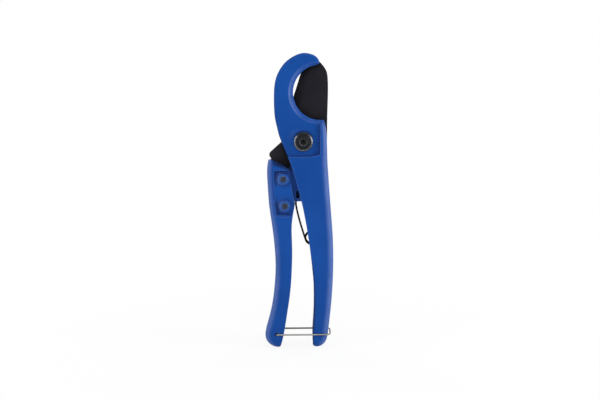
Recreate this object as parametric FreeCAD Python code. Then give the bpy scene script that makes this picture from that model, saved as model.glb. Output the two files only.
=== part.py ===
import FreeCAD, Part
import math
import os

# ---------------------------------------------------------------------------
# Ratcheting cutter for plastic pipe, 42 mm class.
# Millimetres. Origin on the main pivot axis at the middle of the blade's
# thickness, +X towards the mouth's open side, +Z towards the hook's top,
# +Y along the pivot, towards the nut.
# ---------------------------------------------------------------------------

# driving sizes
SEAT_R = 21.0            # radius of the pipe seat (42 mm pipe)
SEAT_X = 13.0            # seat centre, to the side of the pivot
SEAT_FLOOR = 16.6        # lowest point of the seat, above the pivot
GRIP_LEN = 101.7         # length of the grips below the lever's head
BODY_HALF = 8.8          # half thickness of both handles
PIVOT_STEP = 2.0         # depth of hook and pivot pocket below the handle's face
HEAD_STEP = 0.5          # depth of the panel in the lever's head
BOSS_STEP = 2.0          # further depth of the two pockets round the rivets
SEAT_ROUND = 2.8         # width of the eased edge round the seat
BACK_ROUND = 4.4         # rounding of the grips' backs
GRIP_WALL = 2.5          # side walls of the grips' channels
WEB_T = 2.8              # outer wall of the grips' channels
BLADE_T = 3.0            # blade thickness
SLOT_PLAY = 0.25         # blade to slot wall, each side
RUN = 0.05               # radial running clearance
GAP = 0.05               # side play between sliding faces
SHIM_T = 0.5             # thin wear washers
WING_T = 2.5             # thickness of the lever's wing plates
SCREW_D = 6.0            # pivot screw, M6
SCREW_HOLE = 0.05        # radial clearance of the screw in casting and bush
BUSH_WALL = 1.45         # wall of the pivot bush
WASH_T = 1.4             # pivot washers
HEAD_H = 4.0             # height of the screw's head
NUT_T = 5.0              # height of the nut
KEY_AF = 5.0             # hexagon key across flats
RIVET_D = 5.0            # both rivets of the lever
TAIL_R = 28.3            # radius over the tips of the ratchet teeth
TAIL_PLAY = 0.3          # pawl to tooth tips
TOOTH_H = 1.9            # depth of a ratchet tooth
TOOTH_STEP = 8.5         # angle between teeth, degrees
WIRE_BAIL = 1.3          # latch wire diameter
BAIL_PLAY = 0.3          # latch wire to the grips' faces
WIRE_SPRING = 1.5        # return spring wire diameter
WIRE_PAWL = 0.8          # pawl spring wire diameter
COIL_R = 4.7             # return spring's coil, middle of the wire

# sizes that follow
SEAT_Z = SEAT_FLOOR + SEAT_R
JAW_HALF = BODY_HALF - PIVOT_STEP
HEAD_POCKET = BODY_HALF - HEAD_STEP
GRIP_IN = BODY_HALF - GRIP_WALL
SLOT_HALF = BLADE_T / 2 + SLOT_PLAY
PAWL_T = BLADE_T
BUSH_R = SCREW_D / 2 + SCREW_HOLE + BUSH_WALL
SHIM_Y0 = BLADE_T / 2 + GAP
WING_Y0 = SHIM_Y0 + SHIM_T + GAP
WING_Y1 = WING_Y0 + WING_T
CHEEK_IN = WING_Y1 + GAP + SHIM_T + GAP
SPACER_R = RIVET_D / 2 + 0.6


def low(x, z):
    """A place on the grips, which start 60 mm below the pivot."""
    return (x, z if z > -60.0 else -60.0 + (z + 60.0) * GRIP_LEN / 101.7)


def up(x, z):
    """A place on the hook or blade, which grow with the pipe seat."""
    if z <= SEAT_FLOOR:
        return (x, z)
    side = min(1.0, max(0.0, (SEAT_X - x) / 21.0))
    high = max(0.0, 1.0 - ((z - SEAT_FLOOR - 21.0) / 29.0) ** 2)
    return (x - (SEAT_R - 21.0) * side * high, SEAT_FLOOR + (z - SEAT_FLOOR) * SEAT_R / 21.0)


def lows(points):
    return [low(*p) for p in points]


def ups(points):
    return [up(*p) for p in points]


# places
UP_RIVET = (-15.4, -28.8)
LOW_RIVET = (-14.2, -49.5)
BAIL_AT = low(-20.9, -151.2)
BAIL_BAR = low(21.3, -150.8)
COIL_AT = (6.3, -75.6)
SPRING_HOLE = (-4.2, -41.4)

os.makedirs("parts", exist_ok=True)
V = FreeCAD.Vector
YAX = V(0, 1, 0)


def P(x, z, y=0.0):
    return V(x, y, z)


def spline(points, y=0.0, t0=None, t1=None):
    """A smooth edge through the points given as (x, z)."""
    curve = Part.BSplineCurve()
    pts = [P(x, z, y) for x, z in points]
    if t0 is not None and t1 is not None:
        curve.interpolate(Points=pts, InitialTangent=P(*t0), FinalTangent=P(*t1))
    else:
        curve.interpolate(Points=pts)
    return curve.toShape()


def line(a, b, y=0.0):
    return Part.makeLine(P(a[0], a[1], y), P(b[0], b[1], y))


def arc3(a, b, c, y=0.0):
    return Part.Arc(P(a[0], a[1], y), P(b[0], b[1], y), P(c[0], c[1], y)).toShape()


def chain(points, y=0.0):
    return [line(points[i], points[i + 1], y) for i in range(len(points) - 1)]


def slab(edges, y0, y1):
    """A plate between two heights from a closed run of edges drawn at y = 0."""
    face = Part.Face(Part.Wire(Part.__sortEdges__(edges)))
    face.translate(V(0, y0, 0))
    return face.extrude(V(0, y1 - y0, 0))


def poly(points, y0, y1):
    return slab(chain(points + [points[0]]), y0, y1)


def disc(x, z, r, y0, y1):
    return Part.makeCylinder(r, y1 - y0, P(x, z, y0), YAX)


def ring(x, z, ro, ri, y0, y1):
    return disc(x, z, ro, y0, y1).cut(disc(x, z, ri, y0 - 1, y1 + 1))


def both(make):
    """Makes a plate on each side of the blade and joins the two."""
    return make(1).fuse(make(-1))


def span(side, a, b):
    return (a, b) if side > 0 else (-b, -a)


def polar(r, deg):
    return (r * math.cos(math.radians(deg)), r * math.sin(math.radians(deg)))


def inward(points, d):
    """Shifts a run of points sideways by d, to the right of its direction."""
    out = []
    n = len(points)
    for i in range(n):
        a = points[max(i - 1, 0)]
        b = points[min(i + 1, n - 1)]
        dx, dz = b[0] - a[0], b[1] - a[1]
        k = math.hypot(dx, dz)
        out.append((points[i][0] + d * dz / k, points[i][1] - d * dx / k))
    return out


def rim_edges(solid, height, test):
    """Edges that lie flat on the two side faces at +-height."""
    found = []
    for e in solid.Edges:
        ys = [v.Point.y for v in e.Vertexes]
        mid = e.valueAt((e.FirstParameter + e.LastParameter) / 2)
        if all(abs(abs(y) - height) < 1e-4 for y in ys) and abs(abs(mid.y) - height) < 1e-4:
            if test(mid.x, mid.z):
                found.append(e)
    return found


def one(shape, name):
    """The single solid of a shape."""
    shape = shape.removeSplitter()
    solids = shape.Solids
    big = max(solids, key=lambda s: s.Volume)
    if len(solids) > 1:
        print(name, "has", len(solids), "solids", [round(s.Volume, 2) for s in solids])
    return big


def save(shape, name):
    s = one(shape, name)
    if not s.isValid():
        print("NOT VALID", name)
    s.exportStep("parts/" + name + ".step")
    return s


# ---------------------------------------------------------------------------
# outlines shared by several features
# ---------------------------------------------------------------------------
HOOK_OUT = ups([(-13.7, -7.0), (-16.9, 0.0), (-18.4, 3.8), (-20.3, 11.0), (-21.8, 18.0),
            (-22.5, 26.0), (-22.6, 35.0), (-22.1, 43.3), (-20.8, 49.0), (-18.1, 54.8),
            (-14.3, 59.9), (-9.4, 63.8), (-4.5, 66.3), (0.6, 67.4)])
HOOK_TOP = ups([(0.6, 67.4), (4.2, 67.0), (8.2, 65.6), (11.2, 62.9), (12.1, 60.9), (11.9, 59.6)])
RIGHT_SIDE = lows([(16.3, 15.2), (17.1, 11.6), (17.7, 7.0), (18.2, -1.0), (18.5, -13.0), (19.4, -27.0),
              (20.6, -43.0), (21.8, -58.0), (22.8, -71.0), (23.4, -86.0), (23.4, -100.0),
              (22.9, -114.0), (22.0, -127.0), (20.8, -139.0), (19.5, -150.5)])
RIGHT_END = lows([(19.5, -150.5), (18.6, -155.3), (16.4, -159.2), (13.3, -161.3), (9.8, -161.7)])
LEFT_SIDE = lows([(7.5, -157.6), (7.3, -151.7), (8.0, -139.6), (8.4, -126.0), (8.2, -113.0),
             (6.9, -98.1), (4.9, -81.0), (2.4, -65.0), (-1.2, -47.0), (-5.4, -31.0),
             (-9.0, -19.0), (-13.7, -7.0)])

# ---------------------------------------------------------------------------
# frame: hook jaw, pivot cheeks and fixed grip in one casting
# ---------------------------------------------------------------------------
seat_top = (SEAT_X + SEAT_R * math.cos(math.radians(99.87)), SEAT_Z + SEAT_R * math.sin(math.radians(99.87)))
seat_bottom = (SEAT_X + SEAT_R * math.cos(math.radians(-83.4)),
               SEAT_Z + SEAT_R * math.sin(math.radians(-83.4)))
seat_left = (SEAT_X - SEAT_R, SEAT_Z)
HOOK = HOOK_OUT + HOOK_TOP[1:]
jaw_edges = [spline(HOOK), line(HOOK[-1], seat_top),
             arc3(seat_top, seat_left, seat_bottom),
             arc3(seat_bottom, (16.35, 15.0), (16.7, 11.8))]
jaw = slab(jaw_edges + chain([(16.7, 11.8), (15.6, 8.0), (15.6, -14.5), (-10.5, -14.5), (-12.1, -10.8),
                              (-13.7, -7.0)]), -JAW_HALF, JAW_HALF)
soft = rim_edges(jaw, JAW_HALF, lambda x, z: (z > 0 and (x < -5 or z > 60)
                                              and math.hypot(x - SEAT_X, z - SEAT_Z) > SEAT_R + SEAT_ROUND + 0.8))
jaw = jaw.makeFillet(1.6, soft)
# the seat's edge is eased in two flat bevels: a shallow one, widest at the back of the hook, and a steep one
for side in (1, -1):
    for r0, r1, h0, h1, off in ((0.75 * SEAT_ROUND, 0.4 * SEAT_ROUND, 0.0, 0.8, 0.5 * SEAT_ROUND),
                                (0.5 * SEAT_ROUND, -0.1, 0.4, 1.9, 0.0)):
        slope = (r0 - r1) / (h1 - h0)
        jaw = jaw.cut(Part.makeCone(SEAT_R + r0 + slope, SEAT_R + r1, h1 - h0 + 1.0,
                                    P(SEAT_X - off, SEAT_Z - 0.3 * off, side * (JAW_HALF - h0 + 1.0)),
                                    V(0, -side, 0)))

grip_edges = [spline(RIGHT_SIDE + RIGHT_END[1:]),
              arc3(low(9.8, -161.7), low(8.1, -160.4), low(7.5, -157.6)),
              spline(LEFT_SIDE[:-1] + [(-11.9, -11.5)])]
grip_edges += [line((-11.9, -11.5), (1.5, -11.5)), arc3((1.5, -11.5), (6.8, -11.1), (11.6, -10.1)),
               arc3((11.6, -10.1), (12.5, -9.6), (12.9, -8.7)),
               line((12.9, -8.7), (13.0, 9.4)), arc3((13.0, 9.4), (13.7, 13.6), (16.3, 15.2))]
grip = slab(grip_edges, -BODY_HALF, BODY_HALF)


def near_curve(points, tol):
    def test(x, z):
        best = 1e9
        for i in range(len(points) - 1):
            ax, az = points[i]
            bx, bz = points[i + 1]
            if (ax, az) == (bx, bz):
                continue
            t = ((x - ax) * (bx - ax) + (z - az) * (bz - az)) / ((bx - ax) ** 2 + (bz - az) ** 2)
            t = min(1.0, max(0.0, t))
            best = min(best, math.hypot(x - ax - t * (bx - ax), z - az - t * (bz - az)))
        return best < tol
    return test


outer = rim_edges(grip, BODY_HALF, near_curve(RIGHT_SIDE + RIGHT_END, 0.8))
grip = grip.makeFillet(BACK_ROUND, outer)
frame = jaw.fuse(grip)

# slot for the blade, from the seat through both edges of the casting
slot = poly([up(-0.4, 62.9), up(40.0, 62.9), (40.0, -10.0), (21.0, -15.6), (10.5, -18.6), (2.0, -20.5),
             (-12.0, -16.0), up(-14.3, 17.5)], -SLOT_HALF, SLOT_HALF)
slot = slot.fuse(disc(0, 0, TAIL_R + 0.9, -SLOT_HALF, SLOT_HALF).common(
    poly([(17.0, -60.0), (13.6, -10.0), (-2.0, 10.0), (-10.5, 28.5), (-60.0, 28.5), (-60.0, -60.0)],
         -SLOT_HALF, SLOT_HALF)))
frame = frame.cut(slot)

WING_R = BUSH_R + 4.9
# cavity between the cheeks for the lever's wings
cheek_cut = disc(0, 0, WING_R + 1.2, -CHEEK_IN, CHEEK_IN).fuse(
    poly([(-10.1, 3.2), (-40.0, 3.2), (-40.0, -53.0), (-1.0, -53.0), (7.2, -48.0), (10.6, 0.0)], -CHEEK_IN,
         CHEEK_IN))
frame = frame.cut(cheek_cut)

# channel of the grip, open towards the lever
web_in = inward(RIGHT_SIDE[5:], WEB_T)
channel_edges = [spline(web_in), line(web_in[-1], low(15.6, -156.4)),
                 line(low(15.6, -156.4), low(4.0, -156.9)),
                 line(low(4.0, -156.9), low(-30.0, -156.9)), line(low(-30.0, -156.9), (-30.0, -52.0)),
                 line((-30.0, -52.0), (8.0, -52.0))]
channel_edges.append(line((8.0, -52.0), (8.0, -27.0)))
channel_edges.append(line((8.0, -27.0), web_in[0]))
deep_box = poly([(-30.0, -20.0), (40.0, -20.0), (40.0, -56.0), (-30.0, -56.0)], -20, 20)
deep = slab(channel_edges, -CHEEK_IN, CHEEK_IN).common(deep_box)
wide_box = poly([(-30.0, -56.0), (40.0, -56.0), low(40.0, -170.0), low(-30.0, -170.0)], -20, 20)
wide = slab(channel_edges, -GRIP_IN, GRIP_IN).common(wide_box)
frame = frame.cut(deep).cut(wide)

# two cross ribs stiffen the channel; the upper one carries the spring's lower leg
rib_a = poly([(12.4, -100.0), (21.4, -100.0), (21.4, -102.2), (12.4, -102.2)], -GRIP_IN - 0.5, GRIP_IN + 0.5)
rib_b = poly([low(13.4, -131.0), low(19.6, -131.0), low(19.6, -133.2), low(13.4, -133.2)], -GRIP_IN - 0.5,
             GRIP_IN + 0.5)
frame = frame.fuse(rib_a).fuse(rib_b)

# shallow rest for the latch's cross bar on the outer edge
notch = Part.makeCylinder(WIRE_BAIL / 2 + 0.75, 40, P(BAIL_BAR[0], BAIL_BAR[1], -20), YAX)
frame = frame.cut(notch)

# pivot bores
frame = frame.cut(disc(0, 0, SCREW_D / 2 + SCREW_HOLE, -20, 20))
frame = save(frame, "frame_handle")

# ---------------------------------------------------------------------------
# blade with ratchet tail
# ---------------------------------------------------------------------------
teeth = []
start, count = 212.5, 8
for i in range(count):
    a = start + i * TOOTH_STEP
    teeth.append(polar(TAIL_R, a))
    teeth.append(polar(TAIL_R, a + TOOTH_STEP * 0.30))
    teeth.append(polar(TAIL_R - TOOTH_H, a + TOOTH_STEP * 0.36))
end = start + count * TOOTH_STEP
teeth.append(polar(TAIL_R, end))
teeth.append(polar(TAIL_R, end + 8.0))
last = teeth[-1]
BACK = ups([(12.2, 60.9), (15.4, 57.6), (17.8, 53.3), (18.7, 47.6), (18.9, 40.0), (18.7, 30.0),
            (18.4, 19.0), (18.3, 8.0), (18.2, -1.0)])
tail_low = polar(TAIL_R, 206.0)
EDGE_LOW = up(-12.6, 18.8)
EDGE_TOP = up(0.2, 59.2)
blade_edges = [spline(BACK), arc3((18.2, -1.0), (16.0, -9.6), (12.6, -15.5)), line((12.6, -15.5), last)]
blade_edges += chain(list(reversed(teeth)))
blade_edges += [line(teeth[0], tail_low)]
blade_edges += [arc3(tail_low, polar(TAIL_R + 0.05, 201.6), polar(TAIL_R - 2.2, 196.7)),
                line(polar(TAIL_R - 2.2, 196.7), (-17.5, -0.7)), line((-17.5, -0.7), (-12.2, 6.5)),
                line((-12.2, 6.5), EDGE_LOW), line(EDGE_LOW, EDGE_TOP),
                arc3(EDGE_TOP, up(3.2, 61.9), up(7.0, 62.1)), line(up(7.0, 62.1), up(10.2, 61.9)),
                arc3(up(10.2, 61.9), up(11.3, 61.6), up(12.2, 60.9))]
blade = slab(blade_edges, -BLADE_T / 2, BLADE_T / 2)
# ground bevels on both sides of the cutting edge
ex, ez = EDGE_TOP[0] - EDGE_LOW[0], EDGE_TOP[1] - EDGE_LOW[1]
el = math.hypot(ex, ez)
ex, ez = ex / el, ez / el
nx, nz = ez, -ex
GRIND = 6.5


def grind(side):
    a = (EDGE_LOW[0] - 3 * ex - 0.3 * nx, EDGE_LOW[1] - 3 * ez - 0.3 * nz)
    s = BLADE_T / 2
    tri = Part.makePolygon([V(a[0] - nx, side * 0.12, a[1] - nz),
                            V(a[0] - nx, side * (s + 1), a[1] - nz),
                            V(a[0] + GRIND * nx, side * (s + 1), a[1] + GRIND * nz),
                            V(a[0] + GRIND * nx, side * s, a[1] + GRIND * nz),
                            V(a[0] - nx, side * 0.12, a[1] - nz)])
    return Part.Face(tri).extrude(V(ex * (el + 10), 0, ez * (el + 10)))


blade = blade.cut(grind(1)).cut(grind(-1))
blade = blade.cut(disc(0, 0, BUSH_R + RUN, -5, 5))
blade = save(blade, "blade")

# ---------------------------------------------------------------------------
# moving handle: channel-shaped lever with two wings that swing on the pivot
# ---------------------------------------------------------------------------
L_OUT = lows([(-27.2, -14.4), (-27.9, -19.5), (-28.0, -27.0), (-27.4, -37.0), (-26.7, -47.5), (-25.3, -58.5),
         (-23.6, -70.5), (-22.2, -85.0), (-21.7, -98.0), (-22.4, -111.0), (-24.0, -125.0),
         (-26.4, -137.0), (-28.6, -145.0), (-29.9, -151.2)])
L_END = lows([(-29.9, -151.2), (-29.2, -155.9), (-26.8, -159.2), (-23.2, -161.4), (-18.6, -162.0)])
L_IN = lows([(-17.4, -159.6), (-15.2, -150.4), (-13.2, -138.3), (-11.2, -125.0), (-9.7, -112.0),
             (-9.0, -99.9), (-8.8, -85.0),
        (-9.2, -70.0), (-8.6, -60.5), (-7.4, -53.0), (-6.6, -48.6)])
lever_edges = [spline(L_OUT + L_END[1:]), line(low(-18.6, -162.0), low(-17.4, -159.6)), spline(L_IN),
               line((-6.6, -48.6), (-8.6, -38.0)), line((-8.6, -38.0), (-11.2, -22.8)),
               arc3((-11.2, -22.8), (-11.6, -21.0), (-12.6, -19.8)),
               arc3((-12.6, -19.8), (-18.0, -16.8), (-24.8, -14.0)), line((-24.8, -14.0), (-27.2, -14.4))]
lever = slab(lever_edges, -BODY_HALF, BODY_HALF)
touch = rim_edges(lever, BODY_HALF, near_curve(L_OUT + L_END, 0.8))
lever = lever.makeFillet(BACK_ROUND - 0.4, touch)
small = rim_edges(lever, BODY_HALF, near_curve(L_IN, 0.8))
lever = lever.makeFillet(0.7, small)

# sunk panel in each face of the head, with a raised boss around each rivet
panel = [line((-25.0, -4.0), (-24.6, -20.0)), line((-24.6, -20.0), (-23.9, -36.0)),
         line((-23.9, -36.0), (-22.9, -47.5)), line((-22.9, -47.5), (-21.8, -55.6)),
         arc3((-21.8, -55.6), (-21.1, -57.3), (-19.4, -57.8)), line((-19.4, -57.8), (0.0, -58.7)),
         line((0.0, -58.7), (0.0, -4.0)),
         line((0.0, -4.0), (-25.0, -4.0))]
for side in (1, -1):
    a, b = span(side, HEAD_POCKET, BODY_HALF + 2)
    lever = lever.cut(slab(panel, a, b))
# a pocket round each rivet, deepest away from the middle of the head, where its floor runs out
up_pocket = [line((-22.1, -38.9), (-22.9, -24.4)), arc3((-22.9, -24.4), (-22.4, -22.8), (-20.9, -22.2)),
             line((-20.9, -22.2), (0.0, -21.4)),
             line((0.0, -21.4), (0.0, -38.9)), line((0.0, -38.9), (-22.1, -38.9))]
low_pocket = [line((-22.5, -40.4), (-21.7, -48.6)), line((-21.7, -48.6), (-20.9, -54.9)),
              arc3((-20.9, -54.9), (-20.4, -56.1), (-19.2, -56.6)),
              line((-19.2, -56.6), (0.0, -57.6)), line((0.0, -57.6), (0.0, -40.4)),
              line((0.0, -40.4), (-22.5, -40.4))]
for side in (1, -1):
    for outline, z_end, z_deep, z_out in ((up_pocket, -15.0, -27.0, -38.9),
                                          (low_pocket, -62.0, -50.5, -40.4)):
        a, b = span(side, HEAD_POCKET - BOSS_STEP - 1, BODY_HALF + 2)
        y0, y1, y2 = side * (HEAD_POCKET - BOSS_STEP), side * (HEAD_POCKET + 0.02), side * (BODY_HALF + 2)
        slope = Part.Face(Part.makePolygon([V(-30, y0, z_end), V(-30, y0, z_deep), V(-30, y1, z_out),
                                            V(-30, y2, z_out), V(-30, y2, z_end),
                                            V(-30, y0, z_end)])).extrude(V(36, 0, 0))
        lever = lever.cut(slab(outline, a, b).common(slope))
BOSS_H = HEAD_STEP + BOSS_STEP + 0.4
for cx, cz in (UP_RIVET, LOW_RIVET):
    boss_r = RIVET_D / 2 + 2.3
    boss = Part.makeCone(boss_r, boss_r - 0.5, BOSS_H, P(cx, cz, BODY_HALF - BOSS_H), YAX).fuse(
        Part.makeCone(boss_r, boss_r - 0.5, BOSS_H, P(cx, cz, -BODY_HALF + BOSS_H), V(0, -1, 0)))
    lever = lever.fuse(boss)

# wing plates
wing_a, wing_b = polar(WING_R, -9.9), polar(WING_R, 176.3)
wing = [line((-1.8, -46.2), (4.6, -44.0)), line((4.6, -44.0), wing_a),
        arc3(wing_a, polar(WING_R, 85.0), wing_b),
        line(wing_b, (-9.9, -19.0)), line((-9.9, -19.0), (-14.0, -22.0)),
        line((-14.0, -22.0), (-14.0, -46.2)), line((-14.0, -46.2), (-1.8, -46.2))]
for side in (1, -1):
    a, b = span(side, WING_Y0, WING_Y1)
    lever = lever.fuse(slab(wing, a, b))

# inside of the head: narrow space for the blade's tail and the pawl
wall = inward(list(reversed(L_OUT[:7])), WEB_T - 0.3)
head_cut = poly(wall + [(-23.0, -8.0), (30.0, -8.0), (30.0, -60.0)], -WING_Y0, WING_Y0)
head_cut = head_cut.fuse(disc(0, 0, TAIL_R + 0.55, -WING_Y0, WING_Y0))
lever = lever.cut(head_cut)
# inside of the grip: wide channel
wall = inward(list(reversed(L_OUT[6:])), WEB_T)
grip_cut = slab([spline(wall), line(wall[-1], (-20.9, -61.0)), line((-20.9, -61.0), (30.0, -61.0)),
                 line((30.0, -61.0), low(30.0, -157.6)), line(low(30.0, -157.6), low(-24.6, -157.6)),
                 line(low(-24.6, -157.6), wall[0])], -GRIP_IN, GRIP_IN)
lever = lever.cut(grip_cut)
head_low = poly([(-20.9, -56.0), (30.0, -56.0), (30.0, -63.0), (-20.9, -63.0)], -WING_Y0, WING_Y0)
lever = lever.cut(head_low)
# lightening ribs inside the grip
for z in (-88.0, -120.0):
    lever = lever.fuse(poly([low(-20.6, z), low(-14.6, z), low(-14.6, z - 2.0), low(-20.8, z - 2.0)],
                            -GRIP_IN - 0.5, GRIP_IN + 0.5))

lever = lever.cut(disc(0, 0, BUSH_R + RUN, -10, 10))
for cx, cz in (UP_RIVET, LOW_RIVET):
    lever = lever.cut(disc(cx, cz, RIVET_D / 2, -20, 20))
lever = lever.cut(disc(BAIL_AT[0], BAIL_AT[1], WIRE_BAIL / 2 + 0.1, -20, 20))
for side in (1, -1):
    sink = Part.makeCone(WIRE_BAIL / 2 + 0.1, WIRE_BAIL / 2 + 1.3, 1.6,
                         P(BAIL_AT[0], BAIL_AT[1], side * (BODY_HALF - 1.2)), V(0, side, 0))
    lever = lever.cut(sink)
# long hole for the return spring's hooked end, in the front wing
for dz in (-1.1, 0.0, 1.1, 2.2):
    lever = lever.cut(disc(SPRING_HOLE[0], SPRING_HOLE[1] + dz, WIRE_SPRING / 2 + 0.75, -WING_Y1 - 0.3,
                           -WING_Y0 + 0.3))
lever = save(lever, "moving_handle")

# ---------------------------------------------------------------------------
# pivot hardware
# ---------------------------------------------------------------------------
save(ring(0, 0, BUSH_R, SCREW_D / 2 + SCREW_HOLE, -CHEEK_IN, CHEEK_IN), "pivot_bush")
for side, tag in ((-1, "front"), (1, "back")):
    a, b = span(side, SHIM_Y0, SHIM_Y0 + SHIM_T)
    save(ring(0, 0, BUSH_R + 3.5, BUSH_R + RUN, a, b), "blade_shim_" + tag)
    a, b = span(side, WING_Y1 + GAP, WING_Y1 + GAP + SHIM_T)
    save(ring(0, 0, BUSH_R + 3.9, BUSH_R + RUN, a, b), "wing_shim_" + tag)
WASH_R = SCREW_D / 2 + 4.3
save(ring(0, 0, WASH_R, SCREW_D / 2 + 0.1, -JAW_HALF - WASH_T, -JAW_HALF), "pivot_washer_front")
save(ring(0, 0, WASH_R, SCREW_D / 2 + 0.1, JAW_HALF, JAW_HALF + WASH_T), "pivot_washer_back")
y_head = -JAW_HALF - WASH_T
y_nut = JAW_HALF + WASH_T
screw = disc(0, 0, SCREW_D / 2, y_head - 0.2, y_nut + NUT_T + 0.8)
screw = screw.makeChamfer(0.5, [e for e in screw.Edges if abs(e.CenterOfMass.y - (y_nut + NUT_T + 0.8)) < 0.01])
head = disc(0, 0, SCREW_D / 2 + 2.1, y_head - HEAD_H, y_head)
head = head.makeFillet(0.7, [e for e in head.Edges if abs(e.CenterOfMass.y - (y_head - HEAD_H)) < 0.01])
hexa = [polar(KEY_AF / math.sqrt(3.0) + 0.01, 60 * k + 30) for k in range(6)]
head = head.cut(poly(hexa, y_head - HEAD_H - 1, y_head - 1.2))
screw = screw.fuse(head).cut(poly(hexa, y_head - HEAD_H - 1, y_head - 1.2))
save(screw, "pivot_screw")
nut_r = SCREW_D / 2 + 2.77
nut = poly([polar(nut_r, 60 * k) for k in range(6)], y_nut, y_nut + NUT_T)
cone = Part.makeCone(nut_r + 1.83, nut_r - 0.77, 2.6, P(0, 0, y_nut + NUT_T - 2.5), YAX)
nut = nut.common(disc(0, 0, nut_r + 1.83, y_nut - 1, y_nut + NUT_T - 2.4).fuse(cone))
nut = nut.cut(disc(0, 0, SCREW_D / 2, y_nut - 1, y_nut + NUT_T + 1))
save(nut, "pivot_nut")

# ---------------------------------------------------------------------------
# drive pawl on the upper rivet
# ---------------------------------------------------------------------------
ux, uz = UP_RIVET
pawl = disc(ux, uz, RIVET_D / 2 + 1.8, -PAWL_T / 2, PAWL_T / 2)
arm = poly([(-19.0, -27.0), (-18.6, -20.6), (-20.2, -17.2), (-22.0, -17.6), (-23.6, -20.6), (-22.6, -26.6),
            (-19.2, -31.2)], -PAWL_T / 2, PAWL_T / 2)
heel = poly([(-17.0, -31.0), (-12.4, -31.0), (-12.6, -35.6), (-14.6, -36.2), (-16.2, -35.0)], -PAWL_T / 2,
            PAWL_T / 2)
pawl = pawl.fuse(arm).fuse(heel)
pawl = pawl.cut(disc(0, 0, TAIL_R + TAIL_PLAY, -5, 5))
pawl = pawl.cut(disc(ux, uz, RIVET_D / 2 + RUN, -5, 5))
pawl = save(pawl, "drive_pawl")
for side, tag in ((-1, "front"), (1, "back")):
    a, b = span(side, PAWL_T / 2 + GAP, PAWL_T / 2 + GAP + SHIM_T)
    save(ring(ux, uz, RIVET_D / 2 + 1.4, RIVET_D / 2 + RUN, a, b), "pawl_washer_" + tag)


def rivet(cx, cz):
    r = disc(cx, cz, RIVET_D / 2, -BODY_HALF - 0.1, BODY_HALF + 0.1)
    ends = [e for e in r.Edges if abs(abs(e.CenterOfMass.y) - BODY_HALF - 0.1) < 0.01]
    return r.makeChamfer(0.35, ends)


save(rivet(*UP_RIVET), "upper_rivet")
save(rivet(*LOW_RIVET), "lower_rivet")
save(ring(LOW_RIVET[0], LOW_RIVET[1], SPACER_R, RIVET_D / 2 + RUN, -WING_Y0 + GAP, WING_Y0 - GAP),
     "rivet_spacer")


def wire(edges, d, name):
    """A round wire swept along a smooth run of edges."""
    path = Part.Wire(edges)
    e0 = path.OrderedEdges[0]
    p0 = path.OrderedVertexes[0].Point
    t = e0.tangentAt(e0.FirstParameter)
    if (e0.valueAt(e0.FirstParameter) - p0).Length > 1e-6:
        t = e0.tangentAt(e0.LastParameter).negative()
    c = Part.Wire([Part.makeCircle(d / 2, p0, t)])
    s = path.makePipeShell([c], True, True)
    return s


# ---------------------------------------------------------------------------
# pawl spring: torsion coil on the lower rivet's spacer
# ---------------------------------------------------------------------------
def coil_points(cx, cz, r, y0, y1, a0, a1, step=20.0):
    """Points of a helix about an axis along Y; angles in degrees, clockwise or not by sign."""
    n = max(2, int(round(abs(a1 - a0) / step)))
    pts = []
    for i in range(n + 1):
        k = i / n
        a = math.radians(a0 + (a1 - a0) * k)
        pts.append(V(cx + r * math.cos(a), y0 + (y1 - y0) * k, cz + r * math.sin(a)))
    return pts


def smooth_wire(points, d, name):
    curve = Part.BSplineCurve()
    curve.interpolate(Points=points)
    e = curve.toShape()
    return wire([e], d, name)


lx, lz = LOW_RIVET
pr = SPACER_R + 0.15 + WIRE_PAWL / 2
pts = [V(-11.0, -0.9, -33.6), V(-10.8, -0.95, -38.0), V(-10.6, -1.0, -44.0)]
pts += coil_points(lx, lz, pr, -1.0, 1.0, 0.0, -720.0 - 180.0, 20.0)
pts += [V(lx - pr - 0.3, 1.0, lz + 4.0), V(lx - pr - 2.0, 1.0, lz + 9.0), V(lx - pr - 4.6, 1.0, lz + 13.0)]
pawl_spring = smooth_wire(pts, WIRE_PAWL, "pawl_spring")
save(pawl_spring, "pawl_spring")

# ---------------------------------------------------------------------------
# return spring between the grips
# ---------------------------------------------------------------------------
cx, cz = COIL_AT
y_leg = -(WING_Y0 - 0.35 - WIRE_SPRING / 2)
pts = [V(SPRING_HOLE[0], -WING_Y1 - 0.3, SPRING_HOLE[1] + 0.4),
       V(SPRING_HOLE[0], -WING_Y1 + 1.4, SPRING_HOLE[1] + 0.4),
       V(SPRING_HOLE[0] - 0.2, y_leg - 0.6, SPRING_HOLE[1] + 0.1),
       V(SPRING_HOLE[0] - 0.8, y_leg, SPRING_HOLE[1] - 1.6), V(-6.0, y_leg, -49.0), V(-4.2, y_leg, -56.5),
       V(-2.2, y_leg, -63.6), V(-0.2, y_leg, -70.0)]
pts += coil_points(cx, cz, COIL_R, y_leg, y_leg + 3 * (WIRE_SPRING + 0.25) + 0.5, 205.0,
                   205.0 + 3 * 360.0 + 150.0, 24.0)
ex_, ez_ = pts[-1].x, pts[-1].z
pts += [V(cx + COIL_R + 0.6, 5.0, cz - 4.0), V(13.2, 4.9, -86.0), V(16.0, 4.8, -93.0), V(18.2, 4.8, -98.6)]
return_spring = smooth_wire(pts, WIRE_SPRING, "return_spring")
save(return_spring, "return_spring")

# ---------------------------------------------------------------------------
# latch bail: a wire loop hinged in the lever, hooked round the fixed grip
# ---------------------------------------------------------------------------
yb = BODY_HALF + BAIL_PLAY + WIRE_BAIL / 2
bx, bz = BAIL_AT
ex2, ez2 = BAIL_BAR
rr = 1.3


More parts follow.
